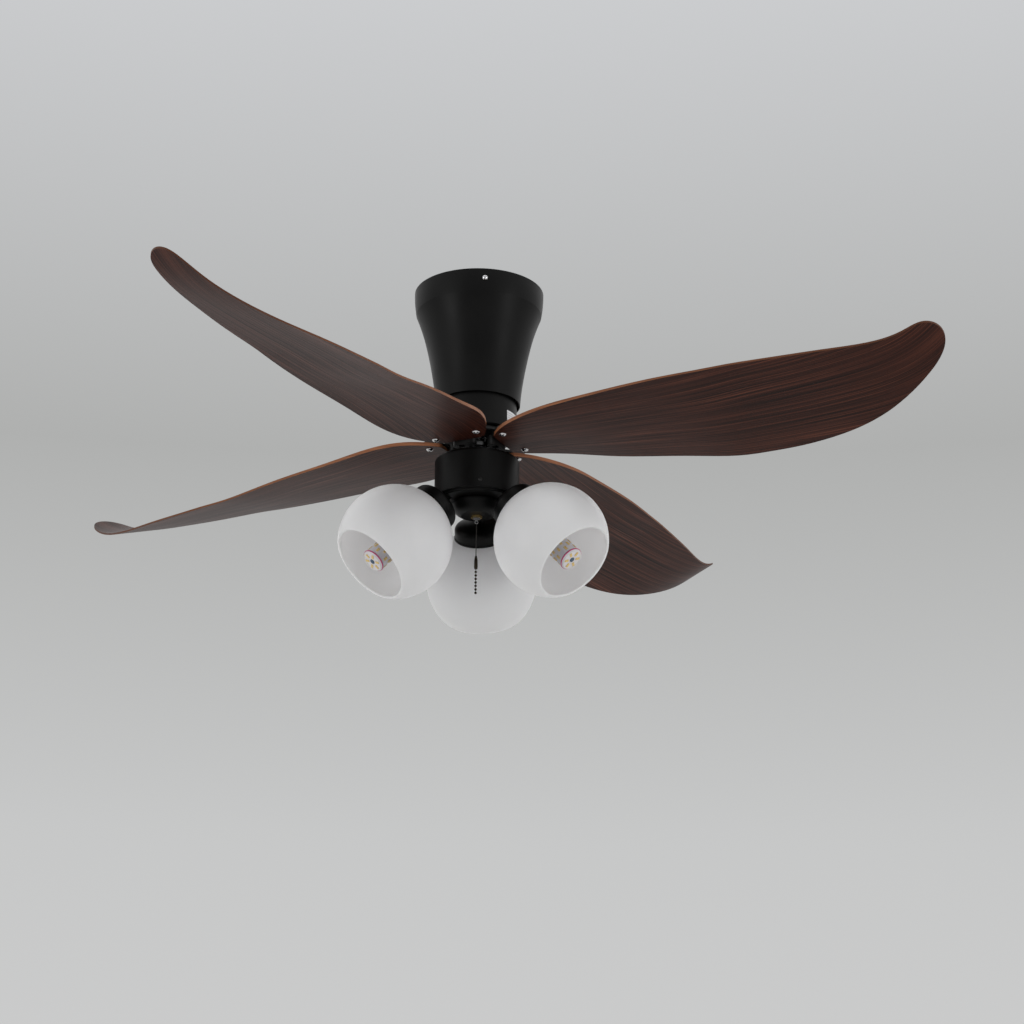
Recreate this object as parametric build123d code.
"""A 52-inch flush-mount ceiling fan with four moulded blades and a three-lamp light kit.

The origin is on the ceiling, on the fan's axis.  +Z points up, and -Y is the front of the fan.
Every height is negative: it is a distance below the ceiling.  All lengths are in millimetres.
"""
from build123d import *
import os
from math import cos, radians, sin, tan

os.makedirs("parts", exist_ok=True)

# Clearances
SHAFT_FIT = 0.05            # radial play between the shaft and what sits on it
SCREW_FIT = 0.2             # radial play of a screw in a clearance hole
SKIN_GAP = 0.3              # gap between a shade and the metal round it

# Ceiling plate and canopy
CANOPY_TOP_R = 87.4
CANOPY_BAND_H = 31.0
CANOPY_END_R = 56.5
CANOPY_H = 162.0
CANOPY_WALL = 1.5
CANOPY_SCREW_ANGLES = (-85, 95)
CANOPY_SCREW_Z = -13.0
PLATE_T = 2.0
PLATE_SLOT_PITCH = 89.0     # the wider of the two standard outlet-box screw spacings
PLATE_SLOT_LENGTH = 16.0
PLATE_SLOT_R = 2.6
WIRE_HOLE_R = 19.0

# Hanger yoke and shaft
YOKE_W = 30.0
YOKE_T = 3.0
YOKE_LEG_X = 30.0
YOKE_FLOOR_Z = -44.0        # underside of the yoke's floor
YOKE_FLOOR_TOP_Z = -40.0    # where the shaft's pin rests
YOKE_SCREW_Y = 42.0
YOKE_SCREW_R = 3.0
SHAFT_R = 7.5
SHAFT_BORE_R = 5.0
SHAFT_TOP_Z = -30.0
SHAFT_END_Z = -262.0
SHAFT_PIN_R = 2.5
SHAFT_PIN_L = 34.0

# Motor: the shells turn round a fixed core
MOTOR_R = 52.0
MOTOR_TOP_Z = -112.0
MOTOR_SPLIT_Z = -158.0
MOTOR_END_Z = -205.5
MOTOR_WALL = 2.0
MOTOR_FLOOR_T = 3.0
BEARING_R = 17.5
BEARING_T = 11.0
CORE_R = 42.5
CORE_TOP_Z = -140.0
CORE_H = 32.0
CORE_SLOTS = 12
CORE_SLOT_AT_R = 33.5
CORE_SLOT_R = 5.0
FLANGE_R = 46.0
FLANGE_T = 6.0
SPIGOT_R = 25.0
COLLAR_R = 22.0
COLLAR_TOP_Z = -219.0
COLLAR_END_Z = -226.0

# Blades and blade irons, in each blade's own radius and sideways position
BLADE_COUNT = 4
BLADE_ANGLE = -33.2
BLADE_SETS = ((0.6, -0.7), (-0.1, 0.5), (-0.4, 0.3), (0.1, 0.2))    # how far each is bent up, and rolled
BLADE_ROOT_T = 5.0
BLADE_ROOT_Z = -224.0
BLADE_SCREWS = ((57.5, -28.0), (54.0, 33.0))
IRON_GAP = 0.25             # room that lets each iron sit a little out of true on its screw
IRON_SCREW_R = 2.5          # of the screws through the blades and up into the hub
IRON_T = 3.5
IRON_BOSS_AT = (31.0, -4.0)
IRON_BOSS_R = 8.0
IRON_BOSS_END_Z = -228.0

# Switch housing, fitter and bowl
HOUSING_R = 56.0
HOUSING_TOP_Z = -240.5
HOUSING_END_Z = -295.4
HOUSING_WALL = 1.5
HOUSING_SCREW_ANGLES = (-85.5, 34.5, 154.5)
HOUSING_SCREW_Z = -286.5
FITTER_END_Z = -299.0
FITTER_STEP_R = 51.5
BOWL_TOP_Z = -302.0
BOWL_END_Z = -318.0
BOWL_R = 33.5

# Lamps: each hangs on an axis that leans out and down from the fitter
LAMP_ANGLES = (206.1, 326.1, 86.1)
LAMP_TILT = 46.0
LAMP_RING_R = 115.8
LAMP_Z = -371.8
SHADE_R = 74.0
SHADE_WALL = 3.0
SHADE_MOUTH = -50.2         # along the lamp's axis from the shade's centre, + towards the fitter
SHADE_NECK_R = 20.5
CUP_R = 33.4
CUP_RIM_S = 66.9
CUP_BAND_S = 78.0
CUP_TOP_S = 91.0
CUP_WALL = 1.4
ARM_R = 6.5
ARM_THREAD_R = 4.0
NIPPLE_R = 5.0
ARM_RING_R = 43.0           # where the arm's thread passes up through the fitter
BULB_SIDES = 12
BULB_R = 14.5
BULB_END_S = -44.5
BULB_COLLAR_S = 37.0        # where the bulb's column meets its collar
CHIP_T = 0.8
SOCKET_R = 20.0
SOCKET_BORE_R = 13.8
SOCKET_END_S = 50.0
SOCKET_TOP_S = 82.0

# Pull switch and chain
SWITCH_TOP_Z = -286.0
SWITCH_FLOOR_Z = -306.0
BUSHING_R = 4.75
BUSHING_END_Z = -322.0
EYE_R = 2.0
EYE_WIRE_R = 0.45
EYE_Z = -326.2
CORD_END_Z = -373.0
CONNECTOR_END_Z = -391.0
BEAD_COUNT = 7
BEAD_R = 1.7
BEAD_PITCH = 4.76
FIRST_BEAD_Z = -395.0


def solid_of(shape):
    """The single solid of a cleaned boolean result."""
    solids = shape.solids()
    return solids[0] if len(solids) == 1 else Compound(children=list(solids))


def save(shape, node):
    """Write one sub-part; its file's name is the node's name."""
    export_step(shape, f"parts/{node}.step")


def disc(radius, top, bottom):
    """A solid cylinder on the fan's axis between two heights."""
    return Pos(0, 0, bottom) * Cylinder(radius, top - bottom, align=(Align.CENTER, Align.CENTER, Align.MIN))


def ring(outer, inner, top, bottom):
    """A plain ring on the fan's axis."""
    return disc(outer, top, bottom) - disc(inner, top + 1, bottom - 1)


def turned(points):
    """A solid of revolution about Z from (radius, height) corners."""
    return revolve(Plane.XZ * make_face(Polyline(*points, close=True)), Axis.Z)


def polar(radius, angle, z=0.0):
    """A location at an angle round the fan's axis."""
    return Pos(radius * cos(radians(angle)), radius * sin(radians(angle)), z)


def outward(radius, angle, z):
    """A location whose own Z axis points straight out from the fan's axis."""
    return Rot(0, 0, angle) * Pos(radius, 0, z) * Rot(0, 90, 0)


def hexagon_nut(across_flats, bore_r, top, bottom):
    """A hexagon nut on the fan's axis."""
    body = extrude(RegularPolygon(across_flats / 2, 6, major_radius=False), top - bottom)
    return Pos(0, 0, bottom) * body - disc(bore_r, top + 1, bottom - 1)


def cross_screw(head_r, head_h, shank_r, shank_l):
    """A cross-recess screw: the head's seat is at the origin, the head is on +Z, the shank on -Z."""
    dome_r = (head_r**2 + head_h**2) / (2 * head_h)
    head = Pos(0, 0, head_h - dome_r) * Sphere(dome_r)
    head = head & Cylinder(head_r, head_h, align=(Align.CENTER, Align.CENTER, Align.MIN))
    shank = Cylinder(shank_r, shank_l, align=(Align.CENTER, Align.CENTER, Align.MAX))
    screw = head + shank
    for turn in (0, 90):
        screw -= Pos(0, 0, head_h) * Rot(0, 0, turn) * Box(head_r * 1.15, head_r * 0.22, head_h * 1.1)
    return screw


# ---------------------------------------------------------------- ceiling plate, canopy and hanger

def canopy_outline(inset):
    """The canopy's face in radius and height: a short band, a crease, then a hollow trumpet."""
    crease = (CANOPY_TOP_R - 2.7 - inset, -CANOPY_BAND_H)
    bend = (CANOPY_TOP_R - 0.6 - inset, -CANOPY_BAND_H / 2)
    end = (CANOPY_END_R - inset, -CANOPY_H)
    trumpet = [(74.3 - inset, -61.0), (66.0 - inset, -96.0), (58.9 - inset, -138.0)]
    return crease, bend, end, trumpet


def make_canopy():
    """The spun steel canopy, open at both ends."""
    crease, bend, end, trumpet = canopy_outline(0)
    crease_in, bend_in, end_in, trumpet_in = canopy_outline(CANOPY_WALL)
    top = (CANOPY_TOP_R, 0)
    top_in = (CANOPY_TOP_R - CANOPY_WALL, 0)
    outline = Curve() + [
        Spline(top, bend, crease),
        Spline(crease, *trumpet, end),
        Line(end, end_in),
        Spline(end_in, *reversed(trumpet_in), crease_in),
        Spline(crease_in, bend_in, top_in),
        Line(top_in, top),
    ]
    canopy = revolve(Plane.XZ * make_face(outline), Axis.Z)
    for angle in CANOPY_SCREW_ANGLES:
        canopy -= outward(CANOPY_TOP_R, angle, CANOPY_SCREW_Z) * Cylinder(2 + SCREW_FIT, 12)
    return canopy


def make_ceiling_bracket():
    """The round mounting plate with two tabs that the canopy is screwed to."""
    tab_out = CANOPY_TOP_R - 1.9 - CANOPY_WALL - SKIN_GAP
    plate = disc(tab_out, 0, -PLATE_T) - disc(WIRE_HOLE_R, 1, -PLATE_T - 1)
    rim = ring(tab_out, tab_out - 2.2, -PLATE_T, -24)
    for angle in CANOPY_SCREW_ANGLES:
        plate += rim & (polar(tab_out, angle, -12) * Rot(0, 0, angle) * Box(20, 34, 26))
    for angle in CANOPY_SCREW_ANGLES:
        plate -= outward(tab_out, angle, CANOPY_SCREW_Z) * Cylinder(2 + SHAFT_FIT, 12)
    slot = SlotOverall(PLATE_SLOT_LENGTH, PLATE_SLOT_R * 2)
    for side in (-1, 1):
        cutter = extrude(slot, PLATE_T + 2)
        plate -= Pos(side * PLATE_SLOT_PITCH / 2, 0, -PLATE_T - 1) * cutter
        plate -= Pos(0, side * YOKE_SCREW_Y, -PLATE_T - 1) * Cylinder(YOKE_SCREW_R + SHAFT_FIT, 8)
    return plate


def make_hanger_yoke():
    """A bent strap that hangs from the plate and carries the shaft on its floor."""
    floor_top = YOKE_FLOOR_TOP_Z
    feet_top = -PLATE_T
    feet_y = YOKE_SCREW_Y + 10
    outline = [
        (-feet_y, feet_top), (-YOKE_LEG_X, feet_top), (-YOKE_LEG_X, floor_top),
        (YOKE_LEG_X, floor_top), (YOKE_LEG_X, feet_top), (feet_y, feet_top),
        (feet_y, feet_top - YOKE_T), (YOKE_LEG_X + YOKE_T, feet_top - YOKE_T),
        (YOKE_LEG_X + YOKE_T, YOKE_FLOOR_Z), (-YOKE_LEG_X - YOKE_T, YOKE_FLOOR_Z),
        (-YOKE_LEG_X - YOKE_T, feet_top - YOKE_T), (-feet_y, feet_top - YOKE_T),
    ]
    strap = extrude(Plane.YZ * make_face(Polyline(*outline, close=True)), YOKE_W / 2, both=True)
    strap -= disc(SHAFT_R + SHAFT_FIT, -30, YOKE_FLOOR_Z - 1)
    for side in (-1, 1):
        strap -= Pos(0, side * YOKE_SCREW_Y, feet_top - YOKE_T / 2) * Cylinder(YOKE_SCREW_R + SCREW_FIT, 8)
    return strap


def make_yoke_screws():
    """Two cross-recess screws that hold the yoke's feet to the plate."""
    screws = []
    for side in (-1, 1):
        seat = Pos(0, side * YOKE_SCREW_Y, -PLATE_T - YOKE_T) * Rot(180, 0, 0)
        screws.append(seat * cross_screw(5, 3, YOKE_SCREW_R, PLATE_T + YOKE_T - 0.3))
    return Compound(children=screws)


def make_canopy_screws():
    """Two pan-head screws through the canopy's band into the plate's tabs."""
    screws = []
    for angle in CANOPY_SCREW_ANGLES:
        seat = outward(CANOPY_TOP_R - 0.15, angle, CANOPY_SCREW_Z)
        screws.append(seat * cross_screw(3.8, 2.4, 2, 6.5))
    return Compound(children=screws)


def make_motor_shaft():
    """The fixed hollow shaft that the motor turns round and the wires run through."""
    shaft = ring(SHAFT_R, SHAFT_BORE_R, SHAFT_TOP_Z, SHAFT_END_Z)
    shaft -= Pos(0, 0, YOKE_FLOOR_TOP_Z + SHAFT_PIN_R) * Rot(90, 0, 0) * Cylinder(SHAFT_PIN_R + SHAFT_FIT, 40)
    return shaft


def make_shaft_pin():
    """The cross pin that rests on the yoke's floor and carries the shaft."""
    return Pos(0, 0, YOKE_FLOOR_TOP_Z + SHAFT_PIN_R) * Rot(90, 0, 0) * Cylinder(SHAFT_PIN_R, SHAFT_PIN_L)


def make_terminal_block():
    """A three-way screw terminal block fixed on the yoke's leg."""
    width, depth, height = 34, 14, 13
    y = YOKE_LEG_X + YOKE_T + depth / 2
    z = -20
    block = Pos(0, y, z) * Box(width, depth, height)
    for x in (-11, 0, 11):
        block -= Pos(x, y, z - height / 2) * Cylinder(2.4, 12)
        block -= Pos(x, y + depth / 2, z) * Rot(90, 0, 0) * Cylinder(1.8, 10)
    return block


# ---------------------------------------------------------------- motor

def make_stator_core():
    """The laminated core, with a ring of round slots for the windings."""
    core = ring(CORE_R, SHAFT_R + SHAFT_FIT, CORE_TOP_Z, CORE_TOP_Z - CORE_H)
    for index in range(CORE_SLOTS):
        slot = polar(CORE_SLOT_AT_R, index * 360 / CORE_SLOTS, CORE_TOP_Z - CORE_H / 2)
        core -= slot * Cylinder(CORE_SLOT_R, CORE_H + 2)
    return core


def make_stator_windings():
    """Copper windings: two end rings joined through the core's slots."""
    top = CORE_TOP_Z + 0.1
    bottom = CORE_TOP_Z - CORE_H - 0.1
    coil = ring(CORE_R - 2.5, 24, top + 9, top) + ring(CORE_R - 2.5, 24, bottom, bottom - 9)
    for index in range(CORE_SLOTS):
        slot = polar(CORE_SLOT_AT_R, index * 360 / CORE_SLOTS, CORE_TOP_Z - CORE_H / 2)
        coil += slot * Cylinder(CORE_SLOT_R - 0.3, CORE_H + 4)
    return coil


def make_bearing(top):
    """A shielded ball bearing seen as a ring with a groove on each face."""
    bottom = top - BEARING_T
    bearing = ring(BEARING_R - SHAFT_FIT, SHAFT_R + SHAFT_FIT, top, bottom)
    for face in (top, bottom):
        bearing -= ring(14.5, 10.5, face + 0.6, face - 0.6)
    return bearing


def make_rotor_shell_upper():
    """The upper half of the turning motor case, with its bearing seat."""
    inner = MOTOR_R - MOTOR_WALL
    seat_out = BEARING_R + 3.5
    top = MOTOR_TOP_Z
    return turned([
        (SHAFT_R + 2, top), (MOTOR_R - 4, top), (MOTOR_R, top - 4), (MOTOR_R, MOTOR_SPLIT_Z),
        (inner, MOTOR_SPLIT_Z), (inner, top - MOTOR_WALL - 2), (inner - 2, top - MOTOR_WALL),
        (seat_out, top - MOTOR_WALL), (seat_out, top - MOTOR_WALL - BEARING_T),
        (BEARING_R, top - MOTOR_WALL - BEARING_T), (BEARING_R, top - MOTOR_WALL),
        (SHAFT_R + 2, top - MOTOR_WALL),
    ])


def make_rotor_shell_lower():
    """The lower half of the case, which shows below the canopy's open end."""
    inner = MOTOR_R - MOTOR_WALL
    end = MOTOR_END_Z
    floor = end + MOTOR_FLOOR_T
    return turned([
        (MOTOR_R, MOTOR_SPLIT_Z), (MOTOR_R, end + 1.5), (MOTOR_R - 1.5, end), (SPIGOT_R + 0.1, end),
        (SPIGOT_R + 0.1, floor), (inner - 2, floor), (inner, floor + 2), (inner, MOTOR_SPLIT_Z),
    ])


def make_rotor_ring():
    """The squirrel-cage ring pressed into the turning case round the core."""
    outer = MOTOR_R - MOTOR_WALL - 0.05
    return ring(outer, CORE_R + 1, CORE_TOP_Z + 2, CORE_TOP_Z - CORE_H - 2)


def make_hub_flange():
    """The cast disc under the motor that the irons bolt to and the lower bearing sits in."""
    bottom = MOTOR_END_Z - FLANGE_T
    bearing_top = bottom + BEARING_T
    flange = turned([
        (BEARING_R, bearing_top), (SPIGOT_R, bearing_top), (SPIGOT_R, MOTOR_END_Z),
        (FLANGE_R - 1, MOTOR_END_Z), (FLANGE_R, MOTOR_END_Z - 1), (FLANGE_R, bottom + 1),
        (FLANGE_R - 1, bottom), (BEARING_R, bottom),
    ])
    for index in range(BLADE_COUNT):
        seat = Rot(0, 0, BLADE_ANGLE + index * 90) * Pos(*IRON_BOSS_AT, bottom)
        flange -= seat * Cylinder(IRON_SCREW_R + SHAFT_FIT, 11)
    return flange


def make_shaft_collar():
    """The fixed collar under the lower bearing, down to the top of the switch housing."""
    bottom = MOTOR_END_Z - FLANGE_T
    bore = SHAFT_R + SHAFT_FIT
    return turned([
        (bore, bottom - 0.1), (12, bottom - 0.1), (12, COLLAR_TOP_Z), (COLLAR_R - 1, COLLAR_TOP_Z),
        (COLLAR_R, COLLAR_TOP_Z - 1), (COLLAR_R, COLLAR_END_Z + 1), (COLLAR_R - 1, COLLAR_END_Z),
        (11, COLLAR_END_Z), (11, HOUSING_TOP_Z), (bore, HOUSING_TOP_Z),
    ])


# ---------------------------------------------------------------- blades and irons

def blade_section(radius, height, twist, thickness):
    """A blade's cut at one radius: a thin bar, twisted down towards the wide edge."""
    narrow_side, wide_side = -100, 140
    fall = tan(radians(twist))
    low_narrow = height - narrow_side * fall
    low_wide = height - wide_side * fall
    plane = Plane(origin=(radius, 0, 0), x_dir=(0, 1, 0), z_dir=(1, 0, 0))
    return plane * make_face(Polyline(
        (narrow_side, low_narrow), (wide_side, low_wide), (wide_side, low_wide + thickness),
        (narrow_side, low_narrow + thickness), close=True))


def blade_outline():
    """The blade from above: a nearly straight edge, a bulging edge and a swept round tip."""
    edge = Spline(
        (43, -27), (72, -50), (119, -66), (198, -69), (299, -67), (402, -56), (506, -42), (617, -25),
        (637, -21), (654, 18), (621, 46), (552, 78), (489, 98), (394, 109), (292, 105),
        (194, 93), (120, 79), (74, 61), (36, 33),
    )
    root = Line((36, 33), (43, -27))
    face = make_face(Curve() + [edge, root])
    corners = [v for v in face.vertices() if v.X < 50]
    return fillet(corners, 9)


def make_blade():
    """One moulded blade, level at its root and twisted towards its tip, with two screw holes."""
    root = BLADE_ROOT_Z
    stations = (
        (10, root, 0, BLADE_ROOT_T), (45, root, 0, BLADE_ROOT_T), (80, root, 0, BLADE_ROOT_T),
        (150, -227.2, 5, 4.2), (225, -230.4, 9.7, 3.4), (300, -234.2, 13.7, 2.8), (375, -235.6, 16.6, 2.6),
        (445, -235.4, 18.4, 2.5), (500, -235.2, 19.7, 2.5), (555, -233.4, 20.9, 2.5),
        (610, -225.3, 21.1, 2.5), (660, -198.8, 25, 2.5), (690, -180, 27, 2.5),
    )
    slab = loft([blade_section(*station) for station in stations])
    outline = Pos(0, 0, -400) * extrude(blade_outline(), 300)
    blade = solid_of(slab & outline)
    for across, side in BLADE_SCREWS:
        blade -= Pos(across, side, BLADE_ROOT_Z) * Cylinder(IRON_SCREW_R + SCREW_FIT, 30)
    return blade


def arm_place(index):
    """Where one blade and its iron sit: round the hub, and a little out of true about the blade's root."""
    lift, roll = BLADE_SETS[index]
    root = Pos(IRON_BOSS_AT[0], 0, BLADE_ROOT_Z)
    return Rot(0, 0, BLADE_ANGLE + index * 90) * root * Rot(roll, -lift, 0) * root.inverse()


def make_blade_iron():
    """One cast iron: a flat pad above the blade's root and a boss that bolts up to the hub."""
    pad_bottom = BLADE_ROOT_Z + BLADE_ROOT_T + 0.4
    corners = [Pos(*at) * Circle(9) for at in BLADE_SCREWS]
    corners.append(Pos(IRON_BOSS_AT[0] + 2, IRON_BOSS_AT[1]) * Circle(9))
    edges = [edge for circle in corners for edge in circle.edges()]
    pad = Pos(0, 0, pad_bottom) * extrude(make_hull(edges), IRON_T)
    flange_bottom = MOTOR_END_Z - FLANGE_T
    boss_top = flange_bottom - IRON_GAP
    boss = Pos(*IRON_BOSS_AT, boss_top) * Cylinder(
        IRON_BOSS_R, boss_top - pad_bottom, align=(Align.CENTER, Align.CENTER, Align.MAX))
    foot = Pos(30, 0, IRON_BOSS_END_Z) * extrude(
        Rot(0, 0, 90) * SlotOverall(34, 12), pad_bottom + IRON_T - IRON_BOSS_END_Z)
    iron = pad + boss + foot
    iron -= Pos(*IRON_BOSS_AT, flange_bottom) * Cylinder(IRON_SCREW_R + IRON_GAP, 60)
    iron -= Pos(*IRON_BOSS_AT, IRON_BOSS_END_Z) * Cylinder(4.8, 12)
    for across, side in BLADE_SCREWS:
        iron -= Pos(across, side, pad_bottom) * Cylinder(IRON_SCREW_R + SHAFT_FIT, 20)
    return iron


def make_blade_screws():
    """Eight pan-head screws, two to a blade, up through its root into the iron."""
    screws = []
    for index in range(BLADE_COUNT):
        for across, side in BLADE_SCREWS:
            seat = Pos(across, side, BLADE_ROOT_Z - 0.1) * Rot(180, 0, 0)
            screws.append(arm_place(index) * seat * cross_screw(4.8, 2.8, IRON_SCREW_R, 9))
    return Compound(children=screws)


def make_iron_screws():
    """Four screws, one in each iron's recessed boss, up into the hub flange."""
    screws = []
    for index in range(BLADE_COUNT):
        seat = Pos(*IRON_BOSS_AT, IRON_BOSS_END_Z + 6 - IRON_GAP / 2) * Rot(180, 0, 0)
        turn = Rot(0, 0, BLADE_ANGLE + index * 90)
        screws.append(turn * seat * cross_screw(4.4, 3, IRON_SCREW_R, 15))
    return Compound(children=screws)


# ---------------------------------------------------------------- switch housing and fitter

def make_switch_housing():
    """The fixed cylinder below the blades: closed on top, open below."""
    inner = HOUSING_R - HOUSING_WALL
    cup = disc(HOUSING_R, HOUSING_TOP_Z, HOUSING_END_Z)
    cup = fillet(cup.edges().group_by(Axis.Z)[-1], 5)
    hollow = disc(inner, HOUSING_TOP_Z - HOUSING_WALL, HOUSING_END_Z - 1)
    hollow = fillet(hollow.edges().group_by(Axis.Z)[-1], 3.5)
    cup = cup - hollow - disc(SHAFT_R + SHAFT_FIT, HOUSING_TOP_Z + 1, HOUSING_TOP_Z - 3)
    for angle in HOUSING_SCREW_ANGLES:
        cup -= outward(HOUSING_R, angle, HOUSING_SCREW_Z) * Cylinder(1.5 + SCREW_FIT, 10)
    return cup


def make_housing_nut():
    """The nut on the shaft that clamps the switch housing up against the collar."""
    top = HOUSING_TOP_Z - HOUSING_WALL
    return hexagon_nut(24, SHAFT_R + SHAFT_FIT, top, top - 8)


def make_housing_screws():
    """Three small screws through the housing's wall into the fitter's flange."""
    screws = []
    for angle in HOUSING_SCREW_ANGLES:
        seat = outward(HOUSING_R + 0.05, angle, HOUSING_SCREW_Z)
        screws.append(seat * cross_screw(2.8, 1.6, 1.5, 6))
    return Compound(children=screws)


def make_light_fitter():
    """The pan that closes the housing and carries the three lamp arms and the bowl."""
    outer = HOUSING_R - HOUSING_WALL - SKIN_GAP
    wall = HOUSING_WALL
    floor = FITTER_END_Z
    fitter = turned([
        (outer, HOUSING_SCREW_Z + 6), (outer, HOUSING_END_Z), (FITTER_STEP_R, HOUSING_END_Z - 0.8),
        (FITTER_STEP_R, floor + 1), (FITTER_STEP_R - 1, floor), (32, floor), (30, floor - 1),
        (30, BOWL_TOP_Z), (28, BOWL_TOP_Z), (28, floor + wall), (FITTER_STEP_R - wall, floor + wall),
        (outer - wall, HOUSING_END_Z), (outer - wall, HOUSING_SCREW_Z + 6),
    ])
    for angle in LAMP_ANGLES:
        fitter -= polar(ARM_RING_R, angle, floor) * Cylinder(ARM_THREAD_R + SCREW_FIT, 10)
    for angle in HOUSING_SCREW_ANGLES:
        fitter -= outward(outer, angle, HOUSING_SCREW_Z) * Cylinder(1.5 + SHAFT_FIT, 10)
    return fitter


def make_fitter_bowl():
    """The shallow bowl under the fitter that the pull switch is fixed in."""
    wall = HOUSING_WALL
    top, end = BOWL_TOP_Z, BOWL_END_Z
    outline = Curve() + [
        Line((BUSHING_R + SCREW_FIT, end), (20, end)),
        Spline((20, end), (27.5, end + 4), (BOWL_R, top - 2)),
        Line((BOWL_R, top - 2), (BOWL_R, top)),
        Line((BOWL_R, top), (BOWL_R - 6, top)),
        Line((BOWL_R - 6, top), (BOWL_R - 6, top - wall)),
        Line((BOWL_R - 6, top - wall), (BOWL_R - wall - 0.5, top - wall - 1)),
        Spline((BOWL_R - wall - 0.5, top - wall - 1), (26.3, end + 5), (19.5, end + wall)),
        Line((19.5, end + wall), (BUSHING_R + SCREW_FIT, end + wall)),
        Line((BUSHING_R + SCREW_FIT, end + wall), (BUSHING_R + SCREW_FIT, end)),
    ]
    return revolve(Plane.XZ * make_face(outline), Axis.Z)


def make_capacitor():
    """The motor's run capacitor, standing in the switch housing beside the shaft."""
    block = Pos(-32, 0, -268) * Box(22, 34, 36)
    return fillet(block.edges().filter_by(Axis.Z), 3)


# ---------------------------------------------------------------- lamps

def lamp_frame(angle):
    """A lamp's own frame: origin at the shade's centre, +Z up its axis towards the fitter."""
    centre = Rot(0, 0, angle) * Pos(LAMP_RING_R, 0, LAMP_Z)
    return centre * Rot(0, LAMP_TILT - 90, 0)


def make_lamp_arm(angle):
    """A short arm: a leaning stub with a thread into the cup and another up through the fitter."""
    stub = disc(ARM_R, CUP_TOP_S + 40, CUP_TOP_S + 0.1)
    nipple = disc(NIPPLE_R, CUP_TOP_S + 4, SOCKET_TOP_S)
    below_fitter = disc(FITTER_STEP_R, FITTER_END_Z - 0.02, FITTER_END_Z - 60)
    leaning = (lamp_frame(angle) * stub & below_fitter) + lamp_frame(angle) * nipple
    return leaning + polar(ARM_RING_R, angle) * disc(ARM_THREAD_R, FITTER_END_Z + 9, FITTER_END_Z - 2)


def make_arm_nuts():
    """Three nuts inside the fitter, one on each arm's thread."""
    floor = FITTER_END_Z + HOUSING_WALL
    nut = hexagon_nut(11, ARM_THREAD_R + SHAFT_FIT, floor + 5, floor + 0.02)
    return Compound(children=[polar(ARM_RING_R, angle) * nut for angle in LAMP_ANGLES])


def cup_outline(inset):
    """A lamp cup in radius and distance up the lamp's axis: a straight band and a dome."""
    flat_r = 7.5
    diagonal = cos(radians(45))
    crown = (flat_r, CUP_TOP_S - inset)
    shoulder = (CUP_R - inset, CUP_BAND_S - inset / 2)
    middle = (flat_r + (CUP_R - flat_r - inset) * diagonal,
              CUP_BAND_S + (CUP_TOP_S - CUP_BAND_S) * diagonal - inset * 0.9)
    return shoulder, middle, crown


def make_lamp_cup():
    """A pressed cup with a rolled rim that hides the socket and sits on the shade's shoulder."""
    wall = CUP_WALL
    shoulder, middle, crown = cup_outline(0)
    shoulder_in, middle_in, crown_in = cup_outline(wall)
    rim = CUP_RIM_S
    rolled_r = CUP_R + 0.9
    bore = NIPPLE_R + SHAFT_FIT
    outline = Curve() + [
        Line((CUP_R - wall, rim), (rolled_r, rim)),
        Line((rolled_r, rim), (rolled_r, rim + 2.2)),
        Line((rolled_r, rim + 2.2), (CUP_R, rim + 3)),
        Line((CUP_R, rim + 3), shoulder),
        Spline(shoulder, middle, crown, tangents=((0, 1), (-1, 0))),
        Line(crown, (bore, CUP_TOP_S)),
        Line((bore, CUP_TOP_S), (bore, CUP_TOP_S - wall)),
        Line((bore, CUP_TOP_S - wall), crown_in),
        Spline(crown_in, middle_in, shoulder_in, tangents=((1, 0), (0, -1))),
        Line(shoulder_in, (CUP_R - wall, rim)),
    ]
    return revolve(Plane.XZ * make_face(outline), Axis.Z)


def make_lamp_socket():
    """The lamp holder: a threaded barrel with a shoulder that the shade is clamped against."""
    return turned([
        (SOCKET_BORE_R, SOCKET_END_S), (SOCKET_R, SOCKET_END_S), (SOCKET_R, 71.4), (27, 71.4),
        (27, 73.4), (SOCKET_R, 73.4), (SOCKET_R, SOCKET_TOP_S), (0, SOCKET_TOP_S), (0, 79),
        (SOCKET_BORE_R, 79),
    ])


def make_shade_ring():
    """The ring on the holder's thread that clamps the shade from inside."""
    return turned([
        (SOCKET_R + SHAFT_FIT, 61), (25.5, 61), (26.5, 62), (26.5, 65.4), (SOCKET_R + SHAFT_FIT, 65.4),
    ])


def make_glass_shade():
    """An opal globe, open below at a wide mouth and above at a small neck."""
    inner = SHADE_R - SHADE_WALL
    ball = Sphere(SHADE_R) - Sphere(inner)
    below_mouth = disc(SHADE_R + 1, SHADE_MOUTH, -SHADE_R - 1)
    neck = disc(SHADE_NECK_R, SHADE_R + 1, 0)
    globe = ball - below_mouth - neck
    mouth_edges = [e for e in globe.edges() if abs(e.center().Z - SHADE_MOUTH) < 0.01]
    return fillet(mouth_edges, 1.2)


def make_bulb_base():
    """The bulb's screw base, with rolled threads and a centre contact."""
    outline = [(0, 77), (4.5, 77), (6, 75)]
    for turn in range(4):
        crest = 73 - turn * 4.6
        outline += [(12.6, crest), (13.3, crest - 1.2), (12.6, crest - 2.4)]
    outline += [(12.6, 53), (0, 53)]
    return turned(outline)


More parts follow.
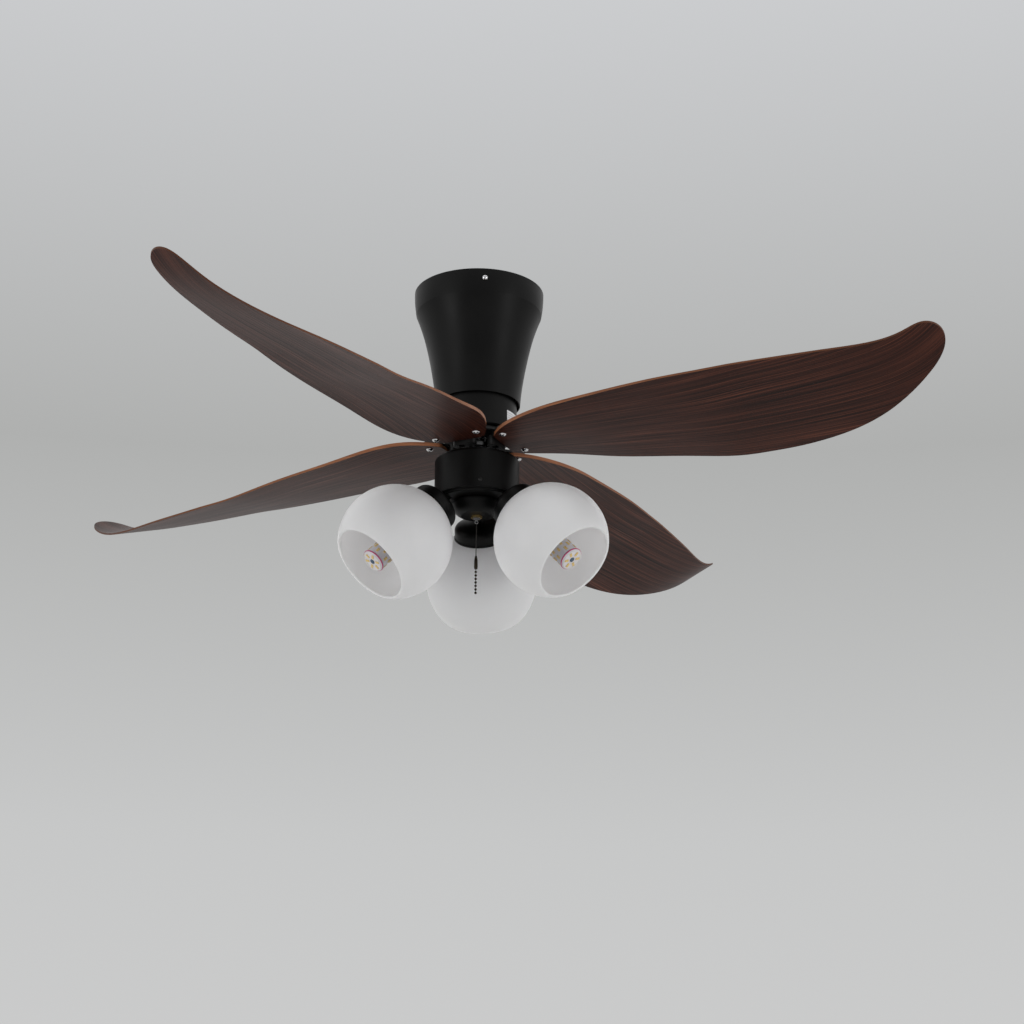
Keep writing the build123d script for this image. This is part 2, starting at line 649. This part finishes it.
def make_bulb():
    """The bulb: a white collar and a many-sided lamp column with a round end."""
    low, high = BULB_END_S + 3, BULB_COLLAR_S
    collar = turned([(0, 53), (13.2, 53), (13.2, 49), (16.5, 44), (16.5, high), (0, high)])
    section = RegularPolygon(BULB_R, BULB_SIDES, major_radius=False, rotation=180 / BULB_SIDES)
    column = Pos(0, 0, low) * extrude(section, high - low)
    end = turned([(0, low), (15.2, low), (15.2, low - 1.8), (14.2, BULB_END_S), (0, BULB_END_S)])
    return collar + column + end


def make_led_chips():
    """The light-emitting chips on each side of each bulb's column and on its end."""
    width, length, pitch = 3.0, 5.6, 11.0
    proud = CHIP_T / 2 + 0.05
    chips = []
    for angle in LAMP_ANGLES:
        frame = lamp_frame(angle)
        for side in range(BULB_SIDES):
            first = BULB_END_S + 10 + (pitch / 2 if side % 2 else 0)
            for row in range(6):
                seat = Rot(0, 0, side * 360 / BULB_SIDES) * Pos(BULB_R + proud, 0, first + row * pitch)
                chips.append(frame * seat * Box(CHIP_T, width, length))
        for index in range(6):
            seat = Rot(0, 0, index * 60) * Pos(9, 0, BULB_END_S - proud)
            chips.append(frame * seat * Box(length, width, CHIP_T))
    return Compound(children=chips)


# ---------------------------------------------------------------- pull switch and chain

def make_pull_switch():
    """The three-speed pull switch: a round body with a threaded bushing out of the bowl."""
    body = disc(12, SWITCH_TOP_Z, SWITCH_FLOOR_Z) + disc(BUSHING_R, SWITCH_FLOOR_Z, BUSHING_END_Z)
    body -= disc(8, SWITCH_TOP_Z - 3, SWITCH_FLOOR_Z + 3)
    return body - disc(1.6, SWITCH_FLOOR_Z + 4, BUSHING_END_Z - 1)


def make_bushing_nut():
    """The brass nut that clamps the switch's bushing in the bowl's floor."""
    return hexagon_nut(13, BUSHING_R + SHAFT_FIT, BOWL_END_Z - 0.02, BOWL_END_Z - 3)


def make_pull_link():
    """The wire that the switch holds, with a button inside it and an eye below the bushing."""
    button_z = SWITCH_TOP_Z - 4
    stem = disc(0.8, button_z, EYE_Z + EYE_R)
    eye = Pos(0, 0, EYE_Z) * Rot(90, 0, 0) * Torus(EYE_R, EYE_WIRE_R)
    return disc(5, button_z, button_z - 2) + stem + eye


def make_pull_cord():
    """The straight cord that hangs from the link's eye."""
    loop_z = EYE_Z - 2 * EYE_R + 2 * EYE_WIRE_R + 0.2
    loop = Pos(0, 0, loop_z) * Rot(0, 90, 0) * Torus(EYE_R, EYE_WIRE_R)
    return loop + disc(0.6, loop_z - EYE_R, CORD_END_Z)


def make_chain_connector():
    """The small bell that joins the cord to the bead chain."""
    return turned([
        (0, CORD_END_Z), (1.2, CORD_END_Z), (1.7, CORD_END_Z - 2.5), (2.3, CORD_END_Z - 6),
        (2.5, CONNECTOR_END_Z + 3), (2.0, CONNECTOR_END_Z), (0, CONNECTOR_END_Z),
    ])


def make_chain_beads():
    """The short chain of beads on a fine wire."""
    last = FIRST_BEAD_Z - BEAD_PITCH * (BEAD_COUNT - 1)
    chain = disc(0.4, CONNECTOR_END_Z, last)
    for index in range(BEAD_COUNT):
        chain += Pos(0, 0, FIRST_BEAD_Z - BEAD_PITCH * index) * Sphere(BEAD_R)
    return chain


def main():
    """Make every sub-part and write it out."""
    save(make_ceiling_bracket(), "ceiling_bracket")
    save(make_canopy(), "canopy")
    save(make_canopy_screws(), "canopy_screws")
    save(make_hanger_yoke(), "hanger_yoke")
    save(make_yoke_screws(), "yoke_screws")
    save(make_motor_shaft(), "motor_shaft")
    save(make_shaft_pin(), "shaft_pin")
    save(make_terminal_block(), "terminal_block")
    save(make_stator_core(), "stator_core")
    save(make_stator_windings(), "stator_windings")
    save(make_bearing(MOTOR_TOP_Z - MOTOR_WALL), "upper_bearing")
    save(make_bearing(MOTOR_END_Z - FLANGE_T + BEARING_T), "lower_bearing")
    save(make_rotor_shell_upper(), "rotor_shell_upper")
    save(make_rotor_shell_lower(), "rotor_shell_lower")
    save(make_rotor_ring(), "rotor_ring")
    save(make_hub_flange(), "hub_flange")
    save(make_shaft_collar(), "shaft_collar")

    blade = make_blade()
    iron = make_blade_iron()
    for index in range(BLADE_COUNT):
        save(arm_place(index) * blade, f"blade_{index + 1}")
        save(arm_place(index) * iron, f"blade_iron_{index + 1}")
    save(make_blade_screws(), "blade_screws")
    save(make_iron_screws(), "iron_screws")

    save(make_switch_housing(), "switch_housing")
    save(make_housing_nut(), "housing_nut")
    save(make_housing_screws(), "housing_screws")
    save(make_light_fitter(), "light_fitter")
    save(make_fitter_bowl(), "fitter_bowl")
    save(make_capacitor(), "capacitor")
    save(make_arm_nuts(), "arm_nuts")

    rings = []
    for number, angle in enumerate(LAMP_ANGLES, 1):
        frame = lamp_frame(angle)
        save(make_lamp_arm(angle), f"lamp_arm_{number}")
        save(frame * make_lamp_cup(), f"lamp_cup_{number}")
        save(frame * make_lamp_socket(), f"lamp_socket_{number}")
        save(frame * make_glass_shade(), f"glass_shade_{number}")
        save(frame * make_bulb_base(), f"bulb_base_{number}")
        save(frame * make_bulb(), f"bulb_{number}")
        rings.append(frame * make_shade_ring())
    save(Compound(children=rings), "shade_rings")
    save(make_led_chips(), "led_chips")

    save(make_pull_switch(), "pull_switch")
    save(make_bushing_nut(), "bushing_nut")
    save(make_pull_link(), "pull_link")
    save(make_pull_cord(), "pull_cord")
    save(make_chain_connector(), "chain_connector")
    save(make_chain_beads(), "chain_beads")


main()
